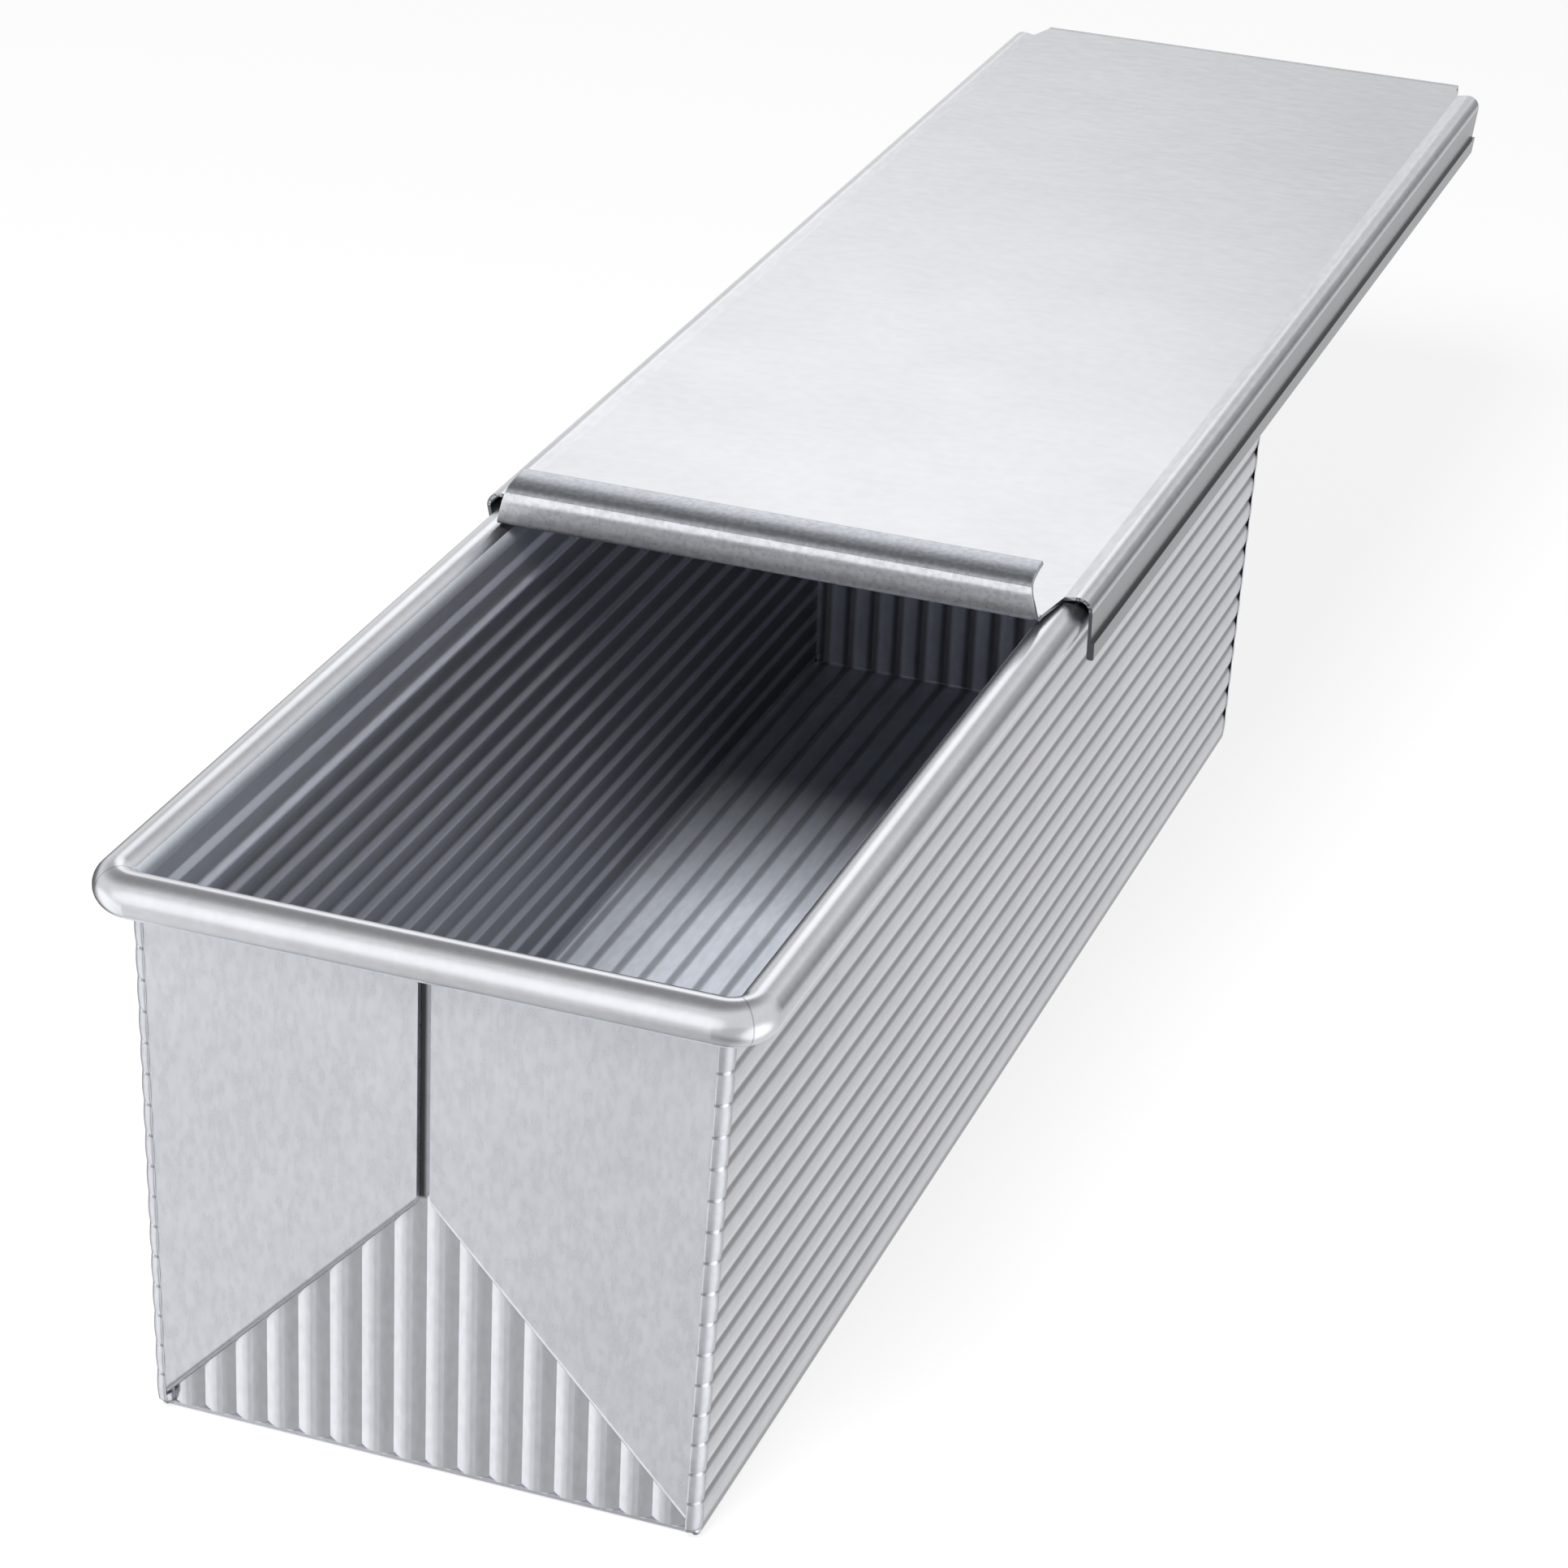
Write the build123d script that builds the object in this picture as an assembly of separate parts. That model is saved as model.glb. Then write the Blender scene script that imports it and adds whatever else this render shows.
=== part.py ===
from build123d import *

import os
from math import acos, atan, cos, degrees, floor, radians, sin, sqrt, tan

# A pullman loaf pan: a straight-sided bread tin folded from one fluted sheet, with a wired rim and a
# flat lid that slides along the rim. All sizes are millimetres. X runs across the pan, Y along it,
# with the lid leaving towards +Y, and Z upwards. The origin is on the ground at the middle of the pan.
# The lid is drawn in the place where the pan stands half open.

# The pan inside, measured at the rim, and how far each side leans in on its way down
inside_length = 330.2
inside_width = 101.6
inside_depth = 101.6
side_lean = 2.6

# The sheet, its flutes and its folds
pan_sheet = 0.7
flute_pitch = 5.77
flute_depth = 0.45
crest_flat = 1.0
fold_inside = 0.15

# The rolled rim and the wire in it
wire_diameter = 6.0
wire_clearance = 0.2
rim_corner_radius = 4.8

# The folded ears on the outside of each end
ear_gap = 2.3
ear_tip_height = 52.0
ear_foot_height = 1.2
ear_tip_radius = 3.0
ear_corner_radius = 1.9
ear_fold_radius = 1.1
ear_below_rim = 0.1

# The flat of the lid, with a tab past the channels at each end
lid_sheet = 0.7
lid_above_rim = 0.5
front_tab_length = 13.0
front_tab_taper = 1.5
rear_tab_length = 9.7
rear_tab_taper = 1.8

# The channels that run along the rim
channel_length = 338.1
channel_clearance = 1.1
crown_rise = 0.4
crown_run = 2.3
channel_corner_radius = 2.8
skirt_depth = 13.2
skirt_lean = 0.9
skirt_end_cut = 3.3
hem_height = 4.0
hem_edge_radius = 0.5

# The lip that the lid is pulled by and the lip that stops it when it is shut
lid_fold_radius = 0.7
pull_lip_height = 8.2
pull_lip_lean = 0.6
pull_lip_return = 6.4
pull_lip_curl_radius = 2.9
pull_lip_taper = 2.1
stop_lip_depth = 5.3
stop_lip_clearance = 0.4

# How far the lid is drawn back from shut
lid_drawn_back = 171.2

# One overrun serves every cut
overrun = 10.0

# Worked out for the sheet: a flute is two round flanks that meet in a sharp valley outside
flank_run = (flute_pitch - crest_flat) / 2
flank_radius = (flank_run**2 + flute_depth**2) / (2 * flute_depth)
inner_flank_radius = flank_radius - pan_sheet
ridge_height = flank_radius - sqrt(inner_flank_radius**2 - flank_run**2)
fold_radius = ridge_height + fold_inside

# Worked out for the pan: the outside faces of its walls and the roll round its rim
roll_radius = wire_diameter / 2 + wire_clearance + pan_sheet
rim_height = inside_depth + pan_sheet - roll_radius
flute_top = rim_height - roll_radius
half_end = inside_length / 2 + pan_sheet
half_top = inside_width / 2 + pan_sheet
half_foot = half_top - side_lean
lean = atan(side_lean / rim_height)
wall_length = rim_height / cos(lean)
wall_across = pan_sheet / cos(lean)
side_setback = fold_radius * tan(radians(45) - lean / 2)
rim_middle_x = inside_width / 2 + roll_radius
rim_middle_y = inside_length / 2 + roll_radius
side_run = rim_middle_y - rim_corner_radius
end_run = rim_middle_x - rim_corner_radius
corner_inside = rim_corner_radius - roll_radius
corner_reach = sqrt(corner_inside**2 + (corner_inside + pan_sheet) ** 2)
roll_end = acos((rim_corner_radius - corner_reach) / roll_radius)
ear_thickness = 2 * pan_sheet
ear_face = half_end + ear_thickness
ear_top = flute_top - ear_below_rim

# Worked out for the lid: it clears the rim above and outside, and its stop lip clears the rim's back
lid_under = inside_depth + pan_sheet + lid_above_rim
lid_top = lid_under + lid_sheet
crease = rim_middle_x
channel_inside = rim_middle_x + roll_radius + channel_clearance
skirt_foot = lid_top - skirt_depth
lid_back = rim_middle_y + roll_radius + stop_lip_clearance + lid_sheet + lid_drawn_back
channel_back = lid_back - rear_tab_length
channel_front = channel_back - channel_length
lid_front = channel_front - front_tab_length
front_tab_width = crease - front_tab_taper
rear_tab_width = crease - rear_tab_taper
pull_lip_root = lid_front + pull_lip_lean + 2 * (lid_fold_radius + lid_sheet)
stop_lip_root = lid_back - 2 * (lid_fold_radius + lid_sheet)


def flute_places(low, high, first):
    """Valleys a pitch apart, in step with the first, that lie clear of both ends of a strip."""
    lowest = -floor((first - low - flank_run) / flute_pitch)
    highest = floor((high - flank_run - first) / flute_pitch)
    return [first + number * flute_pitch for number in range(lowest, highest + 1)]


def fluted_strip(low, high, first):
    """Section of the fluted sheet: X runs across the flutes, Y from the outside of the sheet inwards."""
    valleys = flute_places(low, high, first)
    outline = []
    here = (low, 0)
    for valley in valleys:
        rise = (valley - flank_run, 0)
        fall = (valley + flank_run, 0)
        outline.append(Line(here, rise))
        outline.append(RadiusArc(rise, (valley, flute_depth), -flank_radius))
        outline.append(RadiusArc((valley, flute_depth), fall, -flank_radius))
        here = fall
    outline.append(Line(here, (high, 0)))
    outline.append(Line((high, 0), (high, pan_sheet)))
    here = (high, pan_sheet)
    for valley in reversed(valleys):
        rise = (valley + flank_run, pan_sheet)
        fall = (valley - flank_run, pan_sheet)
        outline.append(Line(here, rise))
        outline.append(RadiusArc(rise, (valley, ridge_height), inner_flank_radius))
        outline.append(RadiusArc((valley, ridge_height), fall, inner_flank_radius))
        here = fall
    outline.append(Line(here, (low, pan_sheet)))
    outline.append(Line((low, pan_sheet), (low, 0)))
    return make_face(outline)


def rounded_outline(corners):
    """Face inside a closed line through the corners, each with its radius, or 0 where it is sharp."""
    arcs = []
    for before, corner, after in zip(corners[-1:] + corners[:-1], corners, corners[1:] + corners[:1]):
        place = Vector(*corner[:2])
        back = (Vector(*before[:2]) - place).normalized()
        ahead = (Vector(*after[:2]) - place).normalized()
        setback = corner[2] / tan(radians(back.get_angle(ahead)) / 2)
        arcs.append((place + back * setback, -back, place + ahead * setback))
    edges = [TangentArc(start, end, tangent=heading) for start, heading, end in arcs if start != end]
    edges += [Line(arc[2], following[0]) for arc, following in zip(arcs, arcs[1:] + arcs[:1])]
    return make_face(edges)


def across(shape):
    """The same piece on the other side of the pan."""
    return mirror(shape, about=Plane.YZ)


def turned(shape):
    """The same piece at the other end of the pan."""
    return mirror(shape, about=Plane.XZ)


def half_width_at(height):
    """Outside half width of the pan, whose sides lean, at a height."""
    return half_foot + side_lean * height / rim_height


def pan_floor():
    """The fluted floor, between the folds to the sides and to the ends."""
    half = half_foot - side_setback
    section = Plane.XZ * fluted_strip(-half, half, 0)
    return extrude(section, amount=half_end - fold_radius, both=True)


def right_wall():
    """A long side with its flutes along the pan, and the fold that joins it to the floor."""
    up = (sin(lean), cos(lean))
    inward = (-cos(lean), sin(lean))
    fold_end = (half_foot + up[0] * side_setback, up[1] * side_setback)
    fold_end_inside = (fold_end[0] + inward[0] * pan_sheet, fold_end[1] + inward[1] * pan_sheet)
    fold_start = (half_foot - side_setback, 0)
    fold_start_inside = (half_foot - side_setback, pan_sheet)
    fold = make_face(
        [
            RadiusArc(fold_start, fold_end, -fold_radius),
            Line(fold_end, fold_end_inside),
            RadiusArc(fold_end_inside, fold_start_inside, fold_radius - pan_sheet),
            Line(fold_start_inside, fold_start),
        ]
    )
    wall_plane = Plane(origin=(half_foot, 0, 0), x_dir=(up[0], 0, up[1]), z_dir=(0, -1, 0))
    fluted_to = flute_top / cos(lean)
    strip = fluted_strip(side_setback, fluted_to, side_setback + flute_pitch)
    plain = Polyline(
        (fluted_to, 0),
        (wall_length, 0),
        (wall_length - pan_sheet * tan(lean), pan_sheet),
        (fluted_to, pan_sheet),
        close=True,
    )
    length = half_end - pan_sheet
    wall = extrude(Plane.XZ * fold, amount=length, both=True)
    wall = wall + extrude(wall_plane * strip, amount=length, both=True)
    return wall + extrude(wall_plane * make_face(plain), amount=length, both=True)


def front_end():
    """An end with its flutes running up from the floor, and the fold that joins it to the floor."""
    half = inside_width / 2
    foot_half = half_foot - side_setback
    foot = Plane(origin=(0, -half_end, fold_radius), x_dir=(1, 0, 0), z_dir=(0, 0, 1))
    wall = extrude(foot * fluted_strip(-half, half, 0), amount=flute_top - fold_radius)
    plain = foot * (Pos(0, pan_sheet / 2) * Rectangle(2 * foot_half, pan_sheet))
    fold = revolve(plain, axis=Axis((0, fold_radius - half_end, fold_radius), (1, 0, 0)), revolution_arc=90)
    brim = Plane(origin=(0, pan_sheet / 2 - half_end, flute_top)) * Rectangle(inside_width, pan_sheet)
    wall = wall + extrude(brim, amount=rim_height - flute_top)
    high = rim_height + overrun
    right = half_width_at(high) - wall_across
    foot_right = half_width_at(0) - wall_across
    between = make_face(Polyline((-foot_right, 0), (foot_right, 0), (right, high), (-right, high), close=True))
    return (wall & extrude(Plane.XZ * between, amount=half_end + overrun)) + fold


def front_right_ear():
    """Two layers of sheet folded round the corner and flat against the outside of the end."""
    inner = half_foot - wall_across
    corner_y = ear_corner_radius - ear_face
    corner_x = half_foot - ear_corner_radius
    start_x = -2 * side_lean
    plan = make_face(
        [
            Line((half_foot, pan_sheet - half_end), (half_foot, corner_y)),
            RadiusArc((half_foot, corner_y), (corner_x, -ear_face), ear_corner_radius),
            Line((corner_x, -ear_face), (start_x, -ear_face)),
            Line((start_x, -ear_face), (start_x, -half_end)),
            Line((start_x, -half_end), (inner, -half_end)),
            Line((inner, -half_end), (inner, pan_sheet - half_end)),
            Line((inner, pan_sheet - half_end), (half_foot, pan_sheet - half_end)),
        ]
    )
    flap = extrude(plan, amount=wall_length, dir=(sin(lean), 0, cos(lean)))
    slope = atan((ear_tip_height - ear_foot_height) / (half_foot - ear_gap / 2))
    far = half_foot + overrun
    far_foot = ear_foot_height - overrun * tan(slope)
    reach = half_foot + wall_length
    layers = make_face(Polyline((0, 0), (ear_face, 0), (ear_face, reach), (0, reach), close=True))
    layers = fillet(layers.vertices().sort_by_distance((ear_face, 0, 0))[0], radius=ear_fold_radius)
    fold = Plane(origin=(far, 0, far_foot), x_dir=(0, -1, 0), z_dir=(-cos(slope), 0, sin(slope)))
    flap = flap & extrude(fold * layers, amount=reach)
    tip = (ear_gap / 2, ear_tip_height)
    shape = make_face(Polyline((far, far_foot), (far, ear_top), (ear_gap / 2, ear_top), tip, close=True))
    shape = fillet(shape.vertices().sort_by_distance((ear_gap / 2, ear_tip_height, 0))[0], radius=ear_tip_radius)
    return flap & extrude(Plane.XZ * shape, amount=ear_face + overrun)


def roll_section():
    """Section of the sheet that is rolled about the wire, from the wall's top round to the wall again."""
    hollow = roll_radius - pan_sheet
    turn = 360 - degrees(roll_end)
    start = (-roll_radius * cos(roll_end), -roll_radius * sin(roll_end))
    start_inside = (-hollow * cos(roll_end), -hollow * sin(roll_end))
    return make_face(
        [
            CenterArc((0, 0), roll_radius, 180 + degrees(roll_end), turn),
            CenterArc((0, 0), hollow, 180 + degrees(roll_end), turn),
            Line(start, start_inside),
            Line((-roll_radius, 0), (-hollow, 0)),
        ]
    )


def rim_corner(section):
    """A section carried round the front right corner of the rim, from the front to the side."""
    start = Plane(origin=(end_run, -rim_middle_y, rim_height), x_dir=(0, -1, 0), z_dir=(-1, 0, 0))
    post = Axis((end_run, -side_run, rim_height), (0, 0, 1))
    return revolve(start * section, axis=post, revolution_arc=90)


def end_length(section):
    """A section carried along the front of the rim, between its corners."""
    middle = Plane(origin=(0, -rim_middle_y, rim_height), x_dir=(0, -1, 0), z_dir=(-1, 0, 0))
    return extrude(middle * section, amount=end_run, both=True)


def side_length(section):
    """A section carried along the right side of the rim, between its corners."""
    middle = Plane(origin=(rim_middle_x, 0, rim_height), x_dir=(1, 0, 0), z_dir=(0, -1, 0))
    return extrude(middle * section, amount=side_run, both=True)


def front_rim_roll():
    """The rolled rim of an end, with the two corners that it turns into."""
    corner = rim_corner(roll_section())
    return end_length(roll_section()) + corner + across(corner)


def right_rim_roll():
    """The rolled rim of a long side."""
    return side_length(roll_section())


def rim_wire():
    """The stiffening wire, one closed loop inside the rolled rim."""
    section = Circle(wire_diameter / 2)
    corner = rim_corner(section)
    front = end_length(section) + corner + across(corner)
    right = side_length(section)
    return front + turned(front) + right + across(right)


def lid_panel():
    """The flat of the lid with its two tapering tabs."""
    right_edge = [
        (front_tab_width, pull_lip_root),
        (crease, channel_front),
        (crease, channel_back),
        (rear_tab_width, stop_lip_root),
    ]
    left_edge = [(-x, y) for x, y in reversed(right_edge)]
    outline = make_face(Polyline(*right_edge, *left_edge, close=True))
    return Pos(0, 0, lid_under) * extrude(outline, amount=lid_sheet)


def right_lid_channel():
    """The edge of the lid: a low crown over the rim, then a skirt outside it with a folded hem."""
    crown = lid_under + crown_rise
    crown_top = crown + lid_sheet
    skirt_slope = skirt_lean / (crown_top - skirt_foot)
    hem_top = skirt_foot + hem_height
    skirt_at_hem = channel_inside + lid_sheet - skirt_slope * (crown_top - hem_top)
    skirt_at_foot = channel_inside + lid_sheet - skirt_lean
    section = rounded_outline(
        [
            (crease, lid_top, 0),
            (crease + crown_run, crown_top, crown_run + lid_sheet),
            (channel_inside + lid_sheet, crown_top, channel_corner_radius),
            (skirt_at_hem, hem_top, 0),
            (skirt_at_hem + lid_sheet, hem_top, 0),
            (skirt_at_foot + lid_sheet, skirt_foot, hem_edge_radius),
            (skirt_at_foot - lid_sheet, skirt_foot, hem_edge_radius),
            (channel_inside, crown, channel_corner_radius - lid_sheet),
            (crease + crown_run, crown, crown_run),
            (crease, lid_under, 0),
        ]
    )
    half = channel_length / 2
    channel = extrude(Plane.XZ * section, amount=half, both=True)
    shoulder = crown_top - channel_corner_radius
    slope = skirt_end_cut / (shoulder - skirt_foot)
    wedge = Polyline(
        (half, shoulder),
        (half - skirt_end_cut - slope * overrun, skirt_foot - overrun),
        (half + overrun, skirt_foot - overrun),
        (half + overrun, shoulder),
        close=True,
    )
    cutter = extrude(Plane.YZ * make_face(wedge), amount=channel_inside + overrun)
    return Pos(0, (channel_front + channel_back) / 2, 0) * (channel - cutter - turned(cutter))


def lid_pull_lip():
    """The turned-up front edge, curled back at the top so that fingers can pull it."""
    top = lid_top + pull_lip_height
    foot = lid_front + pull_lip_lean
    section = rounded_outline(
        [
            (pull_lip_root, lid_under, 0),
            (foot, lid_under, lid_fold_radius + lid_sheet),
            (lid_front, top, pull_lip_curl_radius + lid_sheet),
            (lid_front + pull_lip_return, top, 0),
            (lid_front + pull_lip_return, top - lid_sheet, 0),
            (lid_front + lid_sheet, top - lid_sheet, pull_lip_curl_radius),
            (foot + lid_sheet, lid_top, lid_fold_radius),
            (pull_lip_root, lid_top, 0),
        ]
    )
    lip = extrude(Plane.YZ * section, amount=crease, both=True)
    narrow = front_tab_width - pull_lip_taper
    right_edge = [(front_tab_width, lid_under), (front_tab_width, lid_top), (narrow, top)]
    left_edge = [(-x, z) for x, z in reversed(right_edge)]
    front_view = make_face(Polyline(*right_edge, *left_edge, close=True))
    return lip & (Pos(0, lid_front + overrun, 0) * extrude(Plane.XZ * front_view, amount=2 * overrun))


def lid_stop_lip():
    """The turned-down back edge that comes up against the rim when the lid is shut."""
    foot = lid_under - stop_lip_depth
    section = rounded_outline(
        [
            (stop_lip_root, lid_top, 0),
            (lid_back, lid_top, lid_fold_radius + lid_sheet),
            (lid_back, foot, 0),
            (lid_back - lid_sheet, foot, 0),
            (lid_back - lid_sheet, lid_under, lid_fold_radius),
            (stop_lip_root, lid_under, 0),
        ]
    )
    return extrude(Plane.YZ * section, amount=rear_tab_width, both=True)


def all_parts():
    """Every sub-part with its name."""
    side = right_wall()
    end = front_end()
    ear = front_right_ear()
    end_roll = front_rim_roll()
    side_roll = right_rim_roll()
    channel = right_lid_channel()
    return {
        "pan_floor": pan_floor(),
        "right_wall": side,
        "left_wall": across(side),
        "front_end": end,
        "back_end": turned(end),
        "front_right_ear": ear,
        "front_left_ear": across(ear),
        "back_right_ear": turned(ear),
        "back_left_ear": turned(across(ear)),
        "front_rim_roll": end_roll,
        "back_rim_roll": turned(end_roll),
        "right_rim_roll": side_roll,
        "left_rim_roll": across(side_roll),
        "rim_wire": rim_wire(),
        "lid_panel": lid_panel(),
        "right_lid_channel": channel,
        "left_lid_channel": across(channel),
        "lid_pull_lip": lid_pull_lip(),
        "lid_stop_lip": lid_stop_lip(),
    }


os.makedirs("parts", exist_ok=True)
for name, shape in all_parts().items():
    export_step(shape, f"parts/{name}.step")
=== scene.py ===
"""A pullman loaf pan of fluted aluminised sheet with its lid half drawn, on a pale studio floor."""

import math
from collections import namedtuple

import bpy
import numpy as np
from mathutils import Matrix, Vector


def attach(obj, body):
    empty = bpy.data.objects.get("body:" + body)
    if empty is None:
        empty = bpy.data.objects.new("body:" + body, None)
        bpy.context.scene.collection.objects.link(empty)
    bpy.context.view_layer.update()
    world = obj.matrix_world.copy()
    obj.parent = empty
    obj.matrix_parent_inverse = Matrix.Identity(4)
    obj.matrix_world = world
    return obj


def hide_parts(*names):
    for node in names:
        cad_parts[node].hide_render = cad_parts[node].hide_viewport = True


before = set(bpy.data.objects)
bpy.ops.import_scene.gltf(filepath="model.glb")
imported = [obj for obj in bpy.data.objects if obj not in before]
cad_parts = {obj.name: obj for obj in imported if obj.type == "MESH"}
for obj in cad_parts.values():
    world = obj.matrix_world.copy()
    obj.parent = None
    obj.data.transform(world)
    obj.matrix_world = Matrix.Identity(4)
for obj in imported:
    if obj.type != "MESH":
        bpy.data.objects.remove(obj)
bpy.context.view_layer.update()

# The photograph's view: angles in degrees, distances in metres, the picture 1932 pixels each way
PICTURE_PIXELS = 1932
VIEW_AZIMUTH = 18.704
VIEW_ELEVATION = 26.091
VIEW_ROLL = 2.669
VIEW_DISTANCE = 0.89254
VIEW_RIGHT = -0.00343
VIEW_UP = -0.047462
VIEW_NEAREST = 0.05
VIEW_FURTHEST = 50
FOCAL_PIXELS = 5575.275
SENSOR_MM = 36.0

WHITE = (1, 1, 1, 1)

# The floor: how far it reaches each way in metres, its paint, and the share of plain white that is seen
FLOOR_REACH = 6.0
FLOOR_COLOUR = (0.85, 0.85, 0.85, 1)
FLOOR_ROUGHNESS = 0.9
FLOOR_WHITE_SEEN = 0.85

# The softbox, in metres and watts
SOFTBOX_PLACE = (-0.1, -0.83, 1.14)
SOFTBOX_TARGET = (0, 0, 0.05)
SOFTBOX_SIZE = 0.5
SOFTBOX_WATTS = 34

# The room's even light, and soft patches of the white room, which only reflections show: the way to each,
# how much lighter or darker than the white it is, and the cosines at which it begins and is full
ROOM_COLOUR = (0.985, 0.99, 1, 1)
ROOM_LEVEL = 0.34
ROOM_PATCHES = (
    ((-0.3, 0.35, 0.88), -0.72, 0.6, 1.0),
    ((-0.36, -0.9, 0.2), 0.6, 0.8, 1.0),
    ((-0.1, -0.35, -0.93), -0.4, 0.75, 1.0),
    ((0.4, -0.7, -0.55), -0.28, 0.72, 0.84),
    ((-0.8, -0.23, -0.55), 0.65, 0.79, 0.92),
    ((-0.285, 0.827, 0.485), 1.15, 0.974, 0.993),
    ((0.40, 0.88, 0.23), 0.2, 0.95, 1.0),
    ((0.45, 0.85, -0.25), -0.12, 0.85, 0.98),
    ((0.47, 0.86, 0.1), -0.62, 0.93, 0.985),
    ((0.85, -0.15, -0.5), 0.95, 0.8, 0.95),
    ((-0.78, 0.5, -0.4), -0.9, 0.84, 0.95),
)

# The flutes, in metres: from one valley to the next, and the height of a valley on the long walls
FLUTE_PITCH = 0.00577
SIDE_VALLEY = 0.0073

# The upright folds of the ears, in metres
FOLD_FOOT = 0.0020
FOLD_TOP = 0.0943
CREST_AT_FOOT = 0.04895
CREST_AT_TOP = 0.05139
FOLD_RADIUS = 0.0021
FOLD_CENTRE = 0.1651
FOLD_PROUD = 0.00004
FOLD_BULGE = 0.0002
FOLD_DEEP = 0.0004
FOLD_RINGS = 260
FOLD_POINTS = 11

# The bottom corners, in metres: their heights, how far they are drawn in, and the points of the plan that
# lie inside the sheets, from the fold's centre
FOOT_LOW = 0.0009
FOOT_HIGH = 0.0032
FOOT_DRAW = 0.0014
FOOT_RINGS = 24
FOOT_INSIDE = ((0.0013, -0.00095), (0.00045, -0.00095), (-0.0006, 0.00045), (-0.0006, 0.0007))

# The pull lip, in metres: where its sheet's middle leaves the panel, its bends, each a length and the
# heading at its end in degrees from straight forward, and its half widths. Its last rings but one lie close
# to its ends, at the clear share of the half width, so that its shading stays even
LID_SHEET = 0.0007
LIP_ROOT_Y = -0.0122
LIP_ROOT_Z = 0.10315
LIP_BENDS = ((0, 0), (0.00105, 0), (0.00158, 86), (0.00340, 86), (0.0040, 168), (0.0060, 178))
LIP_HALF_AT_FOOT = 0.0532
LIP_HALF_AT_TOP = 0.0512
LIP_POINTS = 120
LIP_RINGS = 9
LIP_CLEAR = 0.998

# The coating: grains to a metre each way, how far they change the shade and the roughness, and the spans
# of the noise that carry the change
DRAWN_UP = (900, 900, 380)
DRAWN_ACROSS = (220, 1000, 1000)
DRAWN_ALONG = (1000, 220, 1000)
EVEN_GRAIN = (900, 900, 900)
SPECKLE = (1000, 1000, 1000)
MOTTLE_GRAIN = (300, 300, 300)
STAIN_GRAIN = (35, 35, 35)
MOTTLE_CHANGE = 0.015
STAIN_CHANGE = 0.03
GLOSS_CHANGE = 0.01
NARROW_SPAN = (0.35, 0.65)
WIDE_SPAN = (0.3, 0.7)

SHEET_COLOUR = (0.55, 0.565, 0.60)
WALL_COLOUR = (0.545, 0.548, 0.582)
# Painted shade: the ends' sheet is darker than the ears'
END_COLOUR = (0.50, 0.51, 0.54)
RIM_COLOUR = (0.56, 0.573, 0.6)
PANEL_COLOUR = (0.43, 0.44, 0.458)
LIP_COLOUR = (0.455, 0.466, 0.487)
CHANNEL_COLOUR = (0.49, 0.50, 0.525)
# Painted shade: the folds' sheet is darker than the ears'
FOLD_COLOUR = (0.46, 0.47, 0.50)
# The inner faces' cooler tint, which goes with their painted shade and painted light
INSIDE_TINT = (0.972, 0.997, 1.033)

# A line of painted shade or painted highlight on a sheet: what finds how far a point is from it, half its
# width in metres, and the painted shade that it gives the outer face and the inner face. Its core, this
# share of its half width, has the full shade
Line = namedtuple("Line", "measure half_width outside inside")
LINE_CORE = 0.35
# The inner face of a sheet: the share of the position and the fixed part that give the way in which the
# outer face looks, and the inner face's painted shade or painted light, its metal and its dulling
InnerFace = namedtuple("InnerFace", "share fixed shade metal dulling")
# A strip of painted light on an inner face under the rim, lighter than the painted shade below it: the
# heights in metres at which it begins and is full, and its shade
PaintedLightStrip = namedtuple("PaintedLightStrip", "begins full shade")


def place_camera():
    """Stands the camera at its distance along the view direction, moved in its own plane and rolled."""
    azimuth, elevation, roll = (math.radians(a) for a in (VIEW_AZIMUTH, VIEW_ELEVATION, VIEW_ROLL))
    level_share = math.cos(elevation)
    back = Vector(
        (math.sin(azimuth) * level_share, -math.cos(azimuth) * level_share, math.sin(elevation))
    )
    level = Vector((0, 0, 1)).cross(back).normalized()
    upright = back.cross(level)
    right = level * math.cos(roll) + upright * math.sin(roll)
    up = upright * math.cos(roll) - level * math.sin(roll)
    place = back * VIEW_DISTANCE - right * VIEW_RIGHT - up * VIEW_UP
    data = bpy.data.cameras.new("view")
    data.sensor_width = SENSOR_MM
    data.lens = SENSOR_MM * FOCAL_PIXELS / PICTURE_PIXELS
    data.clip_start = VIEW_NEAREST
    data.clip_end = VIEW_FURTHEST
    camera = bpy.data.objects.new("view", data)
    turn = Matrix((right, up, back)).transposed().to_4x4()
    camera.matrix_world = Matrix.Translation(place) @ turn
    bpy.context.scene.collection.objects.link(camera)
    bpy.context.scene.camera = camera


def feed(tree, socket, value):
    """Gives a socket a link or a plain value."""
    if isinstance(value, bpy.types.NodeSocket):
        tree.links.new(value, socket)
    else:
        socket.default_value = value


def joined(tree, kind, operation, inputs):
    """A maths node whose first inputs are given."""
    node = tree.nodes.new(kind)
    node.operation = operation
    for socket, value in zip(node.inputs, inputs):
        feed(tree, socket, value)
    return node


def maths(tree, operation, *inputs):
    """One step of arithmetic with numbers."""
    return joined(tree, "ShaderNodeMath", operation, inputs).outputs[0]


def vectors(tree, operation, *inputs):
    """One step of arithmetic with colours or directions. A dot product gives a number."""
    node = joined(tree, "ShaderNodeVectorMath", operation, inputs)
    return node.outputs["Value" if operation == "DOT_PRODUCT" else "Vector"]


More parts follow.
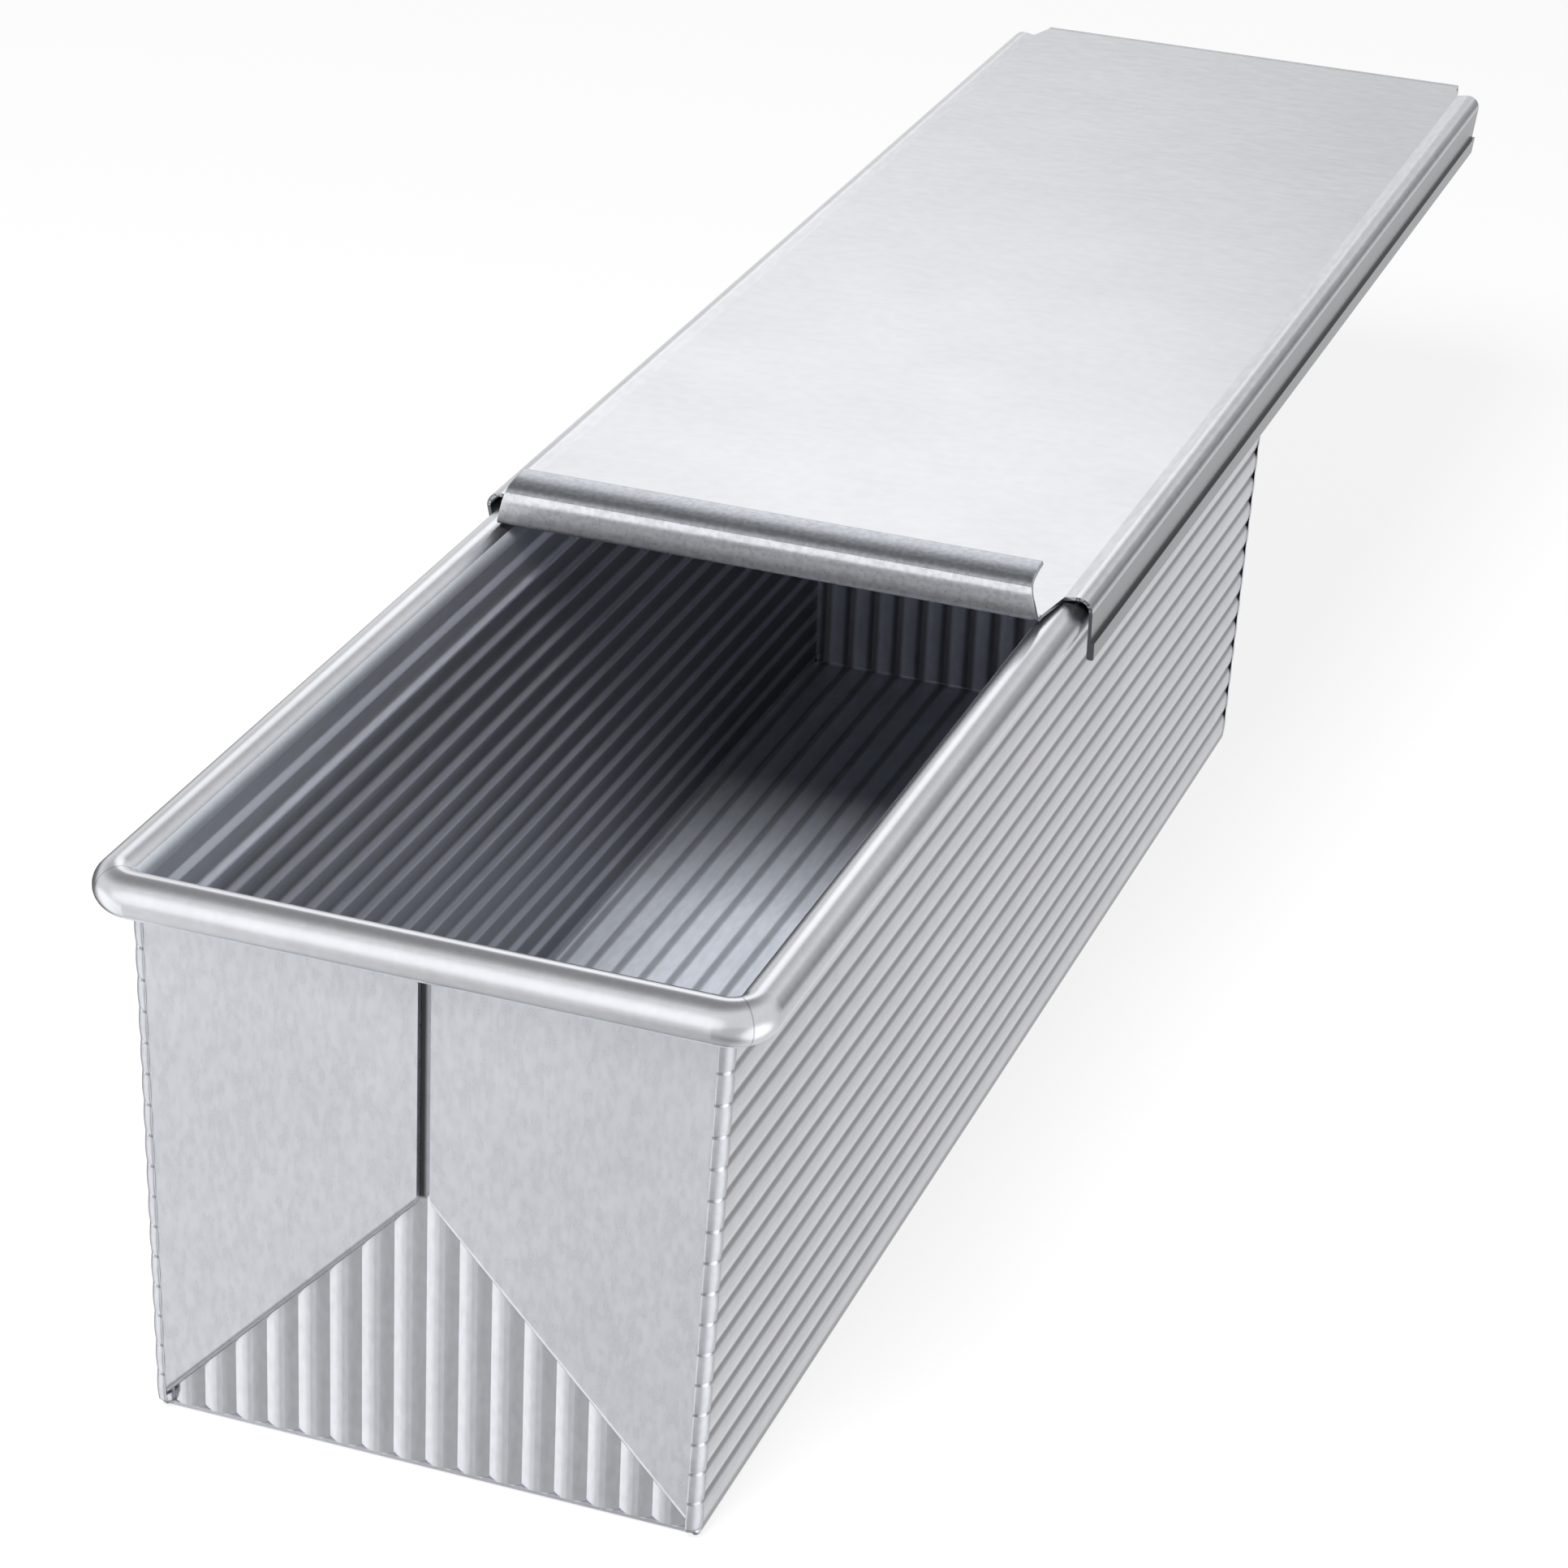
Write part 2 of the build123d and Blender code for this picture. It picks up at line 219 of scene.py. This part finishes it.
def ramp(tree, value, low, high, low_result, high_result, soft=False):
    """The value carried from one range to another and held at its ends."""
    node = tree.nodes.new("ShaderNodeMapRange")
    node.interpolation_type = "SMOOTHSTEP" if soft else "LINEAR"
    feed(tree, node.inputs["Value"], value)
    feed(tree, node.inputs["From Min"], low)
    feed(tree, node.inputs["From Max"], high)
    feed(tree, node.inputs["To Min"], low_result)
    feed(tree, node.inputs["To Max"], high_result)
    return node.outputs["Result"]


def between(tree, share, first, second):
    """A number that goes from the first to the second as the share goes from 0 to 1."""
    return ramp(tree, share, 0, 1, first, second)


def mixed(tree, share, first, second):
    """The first shader, which gives way to the second by the share."""
    node = tree.nodes.new("ShaderNodeMixShader")
    for socket, value in zip(node.inputs, (share, first, second)):
        feed(tree, socket, value)
    return node.outputs[0]


def any_of(tree, *flags):
    """1 where a ray is of one of the named kinds."""
    path = tree.nodes.new("ShaderNodeLightPath")
    so_far = path.outputs[flags[0]]
    for flag in flags[1:]:
        so_far = maths(tree, "MAXIMUM", so_far, path.outputs[flag])
    return so_far


def along_axis(tree, position, axis):
    """The part of a position along one axis."""
    apart = tree.nodes.new("ShaderNodeSeparateXYZ")
    tree.links.new(position, apart.inputs[0])
    return apart.outputs[axis]


def flecks(tree, position, grain, detail):
    """Noise with the given number of grains to a metre each way."""
    space = tree.nodes.new("ShaderNodeMapping")
    space.inputs["Scale"].default_value = grain
    tree.links.new(position, space.inputs["Vector"])
    noise = tree.nodes.new("ShaderNodeTexNoise")
    noise.inputs["Scale"].default_value = 1
    noise.inputs["Detail"].default_value = detail
    tree.links.new(space.outputs["Vector"], noise.inputs["Vector"])
    return noise.outputs["Fac"]


def off_valleys(axis, first):
    """Finds how far a point is from the nearest flute valley along an axis."""

    def measure(tree, position):
        past_first = maths(tree, "SUBTRACT", along_axis(tree, position, axis), first)
        return maths(tree, "PINGPONG", past_first, FLUTE_PITCH / 2)

    return measure


def off_height(level):
    """Finds how far a point is above or below a level."""

    def measure(tree, position):
        return maths(tree, "ABSOLUTE", maths(tree, "SUBTRACT", along_axis(tree, position, "Z"), level))

    return measure


def off_mitre(corner_x, corner_y):
    """Finds how far a point is from the diagonal through the plan corner of the rim."""

    def measure(tree, position):
        across = maths(tree, "ABSOLUTE", along_axis(tree, position, "X"))
        along = maths(tree, "ABSOLUTE", along_axis(tree, position, "Y"))
        past_x = maths(tree, "SUBTRACT", across, corner_x)
        past_y = maths(tree, "SUBTRACT", along, corner_y)
        return maths(tree, "ABSOLUTE", maths(tree, "SUBTRACT", past_x, past_y))

    return measure


def off_slot_side(side, foot):
    """Finds how far a point of an end is from the shaded side of the slot between the ears, above the foot
    of the slot."""

    def measure(tree, position):
        across = maths(tree, "SUBTRACT", along_axis(tree, position, "X"), side)
        below = maths(tree, "SUBTRACT", foot, along_axis(tree, position, "Z"))
        return maths(tree, "MAXIMUM", maths(tree, "ABSOLUTE", across), below)

    return measure


def aluminised_sheet(name, colour, grain, fleck, roughness, metal, lines=(), inner_face=None, painted_light_strip=None):
    """Hot dipped sheet: a soft mottle of the coating, fine flecks drawn out along the rolling direction,
    and slow stains, each of which multiplies the colour by a little more or less than one. So do the
    lines of painted shade and painted highlight, which fade from their core to their edge: a flute's
    valley holds a painted dark line outside, and a painted highlight or a painted dark line inside. A point
    is on the inner face where its normal and the way that the outer face looks have a dot product that
    isn't above zero. The inner face's shade is painted shade or painted light, and its tint, metal and
    dulling differ from the outer face's."""
    material = bpy.data.materials.new(name)
    material.use_nodes = True
    tree = material.node_tree
    shader = tree.nodes["Principled BSDF"]
    place = tree.nodes.new("ShaderNodeTexCoord")
    position = place.outputs["Object"]

    fine = flecks(tree, position, grain, detail=1)
    mottle = flecks(tree, position, MOTTLE_GRAIN, detail=1)
    stains = flecks(tree, position, STAIN_GRAIN, detail=2)
    fine_shade = ramp(tree, fine, *NARROW_SPAN, 1 - fleck, 1 + fleck)
    mottle_shade = ramp(tree, mottle, *NARROW_SPAN, 1 - MOTTLE_CHANGE, 1 + MOTTLE_CHANGE)
    stain_shade = ramp(tree, stains, *WIDE_SPAN, 1 - STAIN_CHANGE, 1 + STAIN_CHANGE)
    shade = maths(tree, "MULTIPLY", maths(tree, "MULTIPLY", fine_shade, mottle_shade), stain_shade)
    gloss = ramp(tree, fine, *WIDE_SPAN, roughness - GLOSS_CHANGE, roughness + GLOSS_CHANGE)

    # Painted shade or painted light: the inner face takes its own shade, metal, dulling and cooler tint
    if inner_face:
        inner_shade = inner_face.shade
        # The painted light strip lightens the inner face's painted shade towards the rim
        if painted_light_strip:
            height = along_axis(tree, position, "Z")
            inner_shade = ramp(tree, height, painted_light_strip.begins, painted_light_strip.full, inner_shade, painted_light_strip.shade, soft=True)
        way = vectors(tree, "MULTIPLY_ADD", position, inner_face.share, inner_face.fixed)
        facing = vectors(tree, "DOT_PRODUCT", way, place.outputs["Normal"])
        outer = maths(tree, "GREATER_THAN", facing, 0.0)
        inner = maths(tree, "SUBTRACT", 1.0, outer)
        shade = maths(tree, "MULTIPLY", shade, between(tree, inner, 1.0, inner_shade))
        gloss = maths(tree, "MULTIPLY_ADD", inner, inner_face.dulling, gloss)
        metal = between(tree, inner, metal, inner_face.metal)
        cooling = [part * (cool - 1) for part, cool in zip(colour, INSIDE_TINT)]
        colour = vectors(tree, "MULTIPLY_ADD", inner, cooling, colour)
    # Lines of painted shade and painted highlight along creases, gaps and the lip's foot
    for line in lines:
        off_line = line.measure(tree, position)
        crease = ramp(tree, off_line, line.half_width * LINE_CORE, line.half_width, 1, 0, soft=True)
        line_shade = between(tree, inner, line.outside, line.inside) if inner_face else line.outside
        shade = maths(tree, "MULTIPLY", shade, between(tree, crease, 1.0, line_shade))
    feed(tree, shader.inputs["Base Color"], vectors(tree, "MULTIPLY", colour, shade))
    feed(tree, shader.inputs["Roughness"], gloss)
    feed(tree, shader.inputs["Metallic"], metal)
    return material


def closed_surface(name, rings, finish, body):
    """A mesh from closed rings of points, an array (ring, point, xyz) in metres: quads between each ring
    and the next, and a flat face on the first and the last. Smooth but for the two end faces."""
    count, around = rings.shape[:2]
    ring, point = np.meshgrid(np.arange(count - 1), np.arange(around), indexing="ij")
    this_ring = ring * around
    next_ring = this_ring + around
    following = (point + 1) % around
    corners = (this_ring + point, this_ring + following, next_ring + following, next_ring + point)
    quads = np.stack(corners, axis=-1).reshape(-1, 4)
    caps = [list(range(around))[::-1], list(range((count - 1) * around, count * around))]
    mesh = bpy.data.meshes.new(name)
    mesh.from_pydata(rings.reshape(-1, 3).tolist(), [], quads.tolist() + caps)
    smooth = np.ones(len(mesh.polygons), dtype=bool)
    smooth[-len(caps) :] = False
    mesh.polygons.foreach_set("use_smooth", smooth)
    mesh.materials.append(finishes[finish])
    mesh.update()
    piece = bpy.data.objects.new(name, mesh)
    bpy.context.scene.collection.objects.link(piece)
    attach(piece, body)
    return piece


def pan_corner(name, side, end, across, along, height):
    """A closed surface at one of the pan's corners, from its rings' distances across and along from the
    pan's middle and their heights. side is -1 or 1 in x, and end is -1 or 1 in y. Where both have the
    same sign the rings run the other way round, so that the faces look outward."""
    rings = np.empty((*across.shape, 3))
    rings[..., 0] = side * across
    rings[..., 1] = end * along
    rings[..., 2] = height[:, None]
    if side * end > 0:
        rings = rings[:, ::-1]
    closed_surface(name, rings, "fold", "pan")


def folded_corner(name, side, end):
    """The upright fold between an ear and its wall, pinched where the wall's flutes run into it. At height
    z the fold is a quarter round about the point a fold radius inside the wall's crests. Its outer radius
    is the fold radius plus a hair plus a bulge, which is one less the square of the distance from the
    middle of a flute, in half pitches, and its inner radius lies inside the sheet."""
    height = np.linspace(FOLD_FOOT, FOLD_TOP, FOLD_RINGS)
    wall = CREST_AT_FOOT + (CREST_AT_TOP - CREST_AT_FOOT) * (height - FOLD_FOOT) / (FOLD_TOP - FOLD_FOOT)
    half_pitch = FLUTE_PITCH / 2
    off_valley = np.abs((height - SIDE_VALLEY + half_pitch) % FLUTE_PITCH - half_pitch)
    bulge = FOLD_BULGE * (1 - (1 - off_valley / half_pitch) ** 2)
    turn = np.linspace(0, math.pi / 2, FOLD_POINTS)
    turn = np.concatenate((turn, turn[::-1]))
    outside = np.arange(2 * FOLD_POINTS) < FOLD_POINTS
    radius = np.where(outside, FOLD_RADIUS + FOLD_PROUD + bulge[:, None], FOLD_RADIUS - FOLD_DEEP)
    across = wall[:, None] - FOLD_RADIUS + radius * np.sin(turn)
    pan_corner(name, side, end, across, FOLD_CENTRE + radius * np.cos(turn), height)


def corner_foot(name, side, end):
    """The gathered metal at a bottom corner of the pan, where the floor, a wall, an end and an ear meet. In
    plan it is the fold's quarter round, closed by a few points inside the sheets. Its radius is short by the
    foot's draw times one less the square root of one less the square of the share still to rise."""
    height = np.linspace(FOOT_LOW, FOOT_HIGH, FOOT_RINGS)
    left = 1 - (height - FOOT_LOW) / (FOOT_HIGH - FOOT_LOW)
    shrink = FOOT_DRAW * (1 - np.sqrt(1 - left**2))
    turn = np.linspace(0, math.pi / 2, FOLD_POINTS)
    quarter = np.stack((np.sin(turn), np.cos(turn)), axis=-1)
    outer = (FOLD_RADIUS + FOLD_PROUD - shrink[:, None, None]) * quarter
    inner = np.broadcast_to(np.array(FOOT_INSIDE), (FOOT_RINGS, len(FOOT_INSIDE), 2))
    plan = np.concatenate((outer, inner), axis=1)
    across = CREST_AT_FOOT - FOLD_RADIUS + plan[..., 0]
    pan_corner(name, side, end, across, FOLD_CENTRE + plan[..., 1], height)


def pull_lip():
    """The lid's turned-up front edge, one sheet of even thickness from side to side. The middle of the sheet
    runs forward, up and then back over the top: its heading turns evenly between the bends' angles, and
    its place is the running sum of the heading's cosine forward and sine upward. The two faces lie half a
    sheet to either side, square to the heading. Its half width falls evenly with height."""
    lengths, degrees = np.array(LIP_BENDS).T
    reached = np.cumsum(lengths)
    along = np.linspace(0, reached[-1], LIP_POINTS)
    step = along[1]
    step_heading = np.radians(np.interp((along[1:] + along[:-1]) / 2, reached, degrees))
    middle_y = LIP_ROOT_Y - np.concatenate(([0], np.cumsum(np.cos(step_heading)))) * step
    middle_z = LIP_ROOT_Z + np.concatenate(([0], np.cumsum(np.sin(step_heading)))) * step
    heading = np.radians(np.interp(along, reached, degrees))
    off_y = LID_SHEET / 2 * np.sin(heading)
    off_z = LID_SHEET / 2 * np.cos(heading)
    section_y = np.concatenate((middle_y + off_y, (middle_y - off_y)[::-1]))
    section_z = np.concatenate((middle_z + off_z, (middle_z - off_z)[::-1]))
    risen = (section_z - LIP_ROOT_Z) / (middle_z[-1] - LIP_ROOT_Z)
    half_width = LIP_HALF_AT_FOOT + (LIP_HALF_AT_TOP - LIP_HALF_AT_FOOT) * risen
    across = np.concatenate(([-1], np.linspace(-LIP_CLEAR, LIP_CLEAR, LIP_RINGS), [1]))
    rings = np.empty((len(across), len(section_y), 3))
    rings[..., 0] = across[:, None] * half_width
    rings[..., 1] = section_y
    rings[..., 2] = section_z
    piece = closed_surface("pull_lip_sheet", rings, "lip", "lid")
    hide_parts("lid_pull_lip")


def front_softbox():
    """One softbox above the front, which looks into the pan. Reflections show the room alone."""
    data = bpy.data.lights.new("front_softbox", "AREA")
    data.shape = "SQUARE"
    data.size = SOFTBOX_SIZE
    data.energy = SOFTBOX_WATTS
    lamp = bpy.data.objects.new("front_softbox", data)
    lamp.location = SOFTBOX_PLACE
    facing = Vector(SOFTBOX_TARGET) - Vector(SOFTBOX_PLACE)
    lamp.rotation_mode = "QUATERNION"
    lamp.rotation_quaternion = facing.to_track_quat("-Z", "Y")
    lamp.visible_glossy = False
    bpy.context.scene.collection.objects.link(lamp)


def pale_floor():
    """A wide pale floor. To the camera it is mostly plain white, and the rest of it is lit, so that it keeps
    the pan's shadow. Reflections show the white room in its place."""
    mesh = bpy.data.meshes.new("studio_floor")
    corners = ((-1, -1), (1, -1), (1, 1), (-1, 1))
    mesh.from_pydata([(FLOOR_REACH * x, FLOOR_REACH * y, 0) for x, y in corners], [], [(0, 1, 2, 3)])
    floor = bpy.data.objects.new("studio_floor", mesh)
    bpy.context.scene.collection.objects.link(floor)
    floor.visible_glossy = False
    material = bpy.data.materials.new("pale_floor")
    material.use_nodes = True
    tree = material.node_tree
    shader = tree.nodes["Principled BSDF"]
    shader.inputs["Base Color"].default_value = FLOOR_COLOUR
    shader.inputs["Roughness"].default_value = FLOOR_ROUGHNESS
    glow = tree.nodes.new("ShaderNodeEmission")
    glow.inputs["Color"].default_value = WHITE
    seen = any_of(tree, "Is Camera Ray", "Is Glossy Ray", "Is Transmission Ray")
    share = maths(tree, "MULTIPLY", seen, FLOOR_WHITE_SEEN)
    surface = mixed(tree, share, shader.outputs[0], glow.outputs[0])
    tree.links.new(surface, tree.nodes["Material Output"].inputs["Surface"])
    mesh.materials.append(material)


def surroundings():
    """White to the camera, and to reflections too but for the soft patches, and a dim even light to
    everything else. Each patch is a smooth step of the dot product of the ray's direction with the way
    to the patch."""
    world = bpy.data.worlds.new("studio")
    bpy.context.scene.world = world
    world.use_nodes = True
    tree = world.node_tree
    way = tree.nodes.new("ShaderNodeTexCoord").outputs["Generated"]
    brightness = 1.0
    for direction, strength, begins, full in ROOM_PATCHES:
        toward = vectors(tree, "DOT_PRODUCT", way, Vector(direction).normalized())
        patch = ramp(tree, toward, begins, full, 0, strength, soft=True)
        brightness = maths(tree, "ADD", patch, brightness)
    even = tree.nodes["Background"]
    even.inputs["Color"].default_value = ROOM_COLOUR
    even.inputs["Strength"].default_value = ROOM_LEVEL
    mirrored = tree.nodes.new("ShaderNodeBackground")
    mirrored.inputs["Color"].default_value = WHITE
    tree.links.new(brightness, mirrored.inputs["Strength"])
    seen = tree.nodes.new("ShaderNodeBackground")
    seen.inputs["Color"].default_value = WHITE
    glossy = any_of(tree, "Is Glossy Ray", "Is Transmission Ray")
    reflections = mixed(tree, glossy, even.outputs[0], mirrored.outputs[0])
    view = mixed(tree, any_of(tree, "Is Camera Ray"), reflections, seen.outputs[0])
    tree.links.new(view, tree.nodes["World Output"].inputs["Surface"])


flutes_across = off_valleys("X", 0.0)
flutes_upward = off_valleys("Z", SIDE_VALLEY)
finishes = {
    "wall": aluminised_sheet(
        "side_sheet",
        colour=WALL_COLOUR,
        grain=DRAWN_ALONG,
        fleck=0.03,
        roughness=0.26,
        metal=0.92,
        # Painted shade: a dark line in each valley outside, and a painted highlight on each ridge inside.
        # The inner face is painted darker, with a painted light strip under the rim
        lines=(Line(flutes_upward, half_width=0.0015, outside=0.45, inside=2.9),),
        inner_face=InnerFace(share=(1, 0, 0), fixed=(0, 0, 0), shade=0.36, metal=0.45, dulling=0.12),
        painted_light_strip=PaintedLightStrip(begins=0.080, full=0.097, shade=0.85),
    ),
    "end": aluminised_sheet(
        "end_sheet",
        colour=END_COLOUR,
        grain=DRAWN_UP,
        fleck=0.03,
        roughness=0.22,
        metal=0.95,
        # Painted shade: a dark line along each valley inside, and a painted shadow by one side of the slot
        # between the ears. The inner face is painted lighter
        lines=(
            Line(flutes_across, half_width=0.0019, outside=1.0, inside=0.35),
            Line(off_slot_side(side=-0.00115, foot=0.0535), half_width=0.0013, outside=0.1, inside=1),
        ),
        inner_face=InnerFace(share=(0, 1, 0), fixed=(0, 0, 0), shade=1.5, metal=0.35, dulling=0.12),
    ),
    "floor": aluminised_sheet(
        "floor_sheet",
        colour=SHEET_COLOUR,
        grain=DRAWN_ALONG,
        fleck=0.04,
        roughness=0.32,
        metal=0.92,
        # Painted shade: a dark line along each flute valley, outside and inside
        lines=(Line(flutes_across, half_width=0.0013, outside=0.6, inside=0.5),),
        inner_face=InnerFace(share=(0, 0, 0), fixed=(0, 0, -1), shade=1.05, metal=0.25, dulling=0.12),
    ),
    "fold": aluminised_sheet(
        "fold_sheet",
        colour=FOLD_COLOUR,
        grain=EVEN_GRAIN,
        fleck=0.04,
        roughness=0.38,
        metal=0.85,
        # Painted shade: dark ticks where the wall's flute valleys run into the fold
        lines=(Line(flutes_upward, half_width=0.0004, outside=0.55, inside=1),),
    ),
    "ear": aluminised_sheet(
        "ear_sheet", colour=SHEET_COLOUR, grain=DRAWN_UP, fleck=0.045, roughness=0.28, metal=0.92
    ),
    "rim": aluminised_sheet(
        "rim_sheet",
        colour=RIM_COLOUR,
        grain=EVEN_GRAIN,
        fleck=0.015,
        roughness=0.25,
        metal=0.95,
        # Painted shade along the mitre crease at each corner of the rim
        lines=(Line(off_mitre(corner_x=0.0547, corner_y=0.169), half_width=0.0003, outside=0.7, inside=1),),
        inner_face=InnerFace(share=(1, 0.3, 0), fixed=(0, 0, 0.063), shade=1.05, metal=0.4, dulling=0.1),
    ),
    # The lip's top counts as its inner face, painted darker as shade, and so do a channel's upright sides
    # and its underside, painted dark as shade
    "lip": aluminised_sheet(
        "lip_sheet",
        colour=LIP_COLOUR,
        grain=SPECKLE,
        fleck=0.1,
        roughness=0.28,
        metal=0.58,
        # Painted shade, darker towards the lip's foot
        lines=(Line(off_height(0.1027), half_width=0.0042, outside=0.5, inside=1),),
        inner_face=InnerFace(
            share=(0, 0, 0), fixed=(0, -0.574, -0.819), shade=0.74, metal=0.95, dulling=-0.1
        ),
    ),
    "channel": aluminised_sheet(
        "channel_sheet",
        colour=CHANNEL_COLOUR,
        grain=DRAWN_ALONG,
        fleck=0.04,
        roughness=0.22,
        metal=0.95,
        # Painted shade: a dark line in the gap above the hem
        lines=(Line(off_height(0.0943), half_width=0.0005, outside=0.25, inside=1),),
        inner_face=InnerFace(share=(0, 0, 0), fixed=(0, 0, 1), shade=0.34, metal=0.95, dulling=0.02),
    ),
    "panel": aluminised_sheet(
        "panel_sheet", colour=PANEL_COLOUR, grain=DRAWN_ACROSS, fleck=0.02, roughness=0.17, metal=0.97
    ),
}

# Each node's name holds the word for its finish
for name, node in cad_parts.items():
    finish = next(finishes[word] for word in finishes if word in name)
    for slot in node.material_slots:
        slot.material = finish

for side, side_name in ((-1, "left"), (1, "right")):
    for end, end_name in ((-1, "front"), (1, "back")):
        folded_corner(f"{end_name}_{side_name}_fold", side, end)
        corner_foot(f"{end_name}_{side_name}_foot", side, end)
pull_lip()

pale_floor()
front_softbox()
surroundings()
place_camera()
bpy.context.scene.view_settings.view_transform = "Standard"
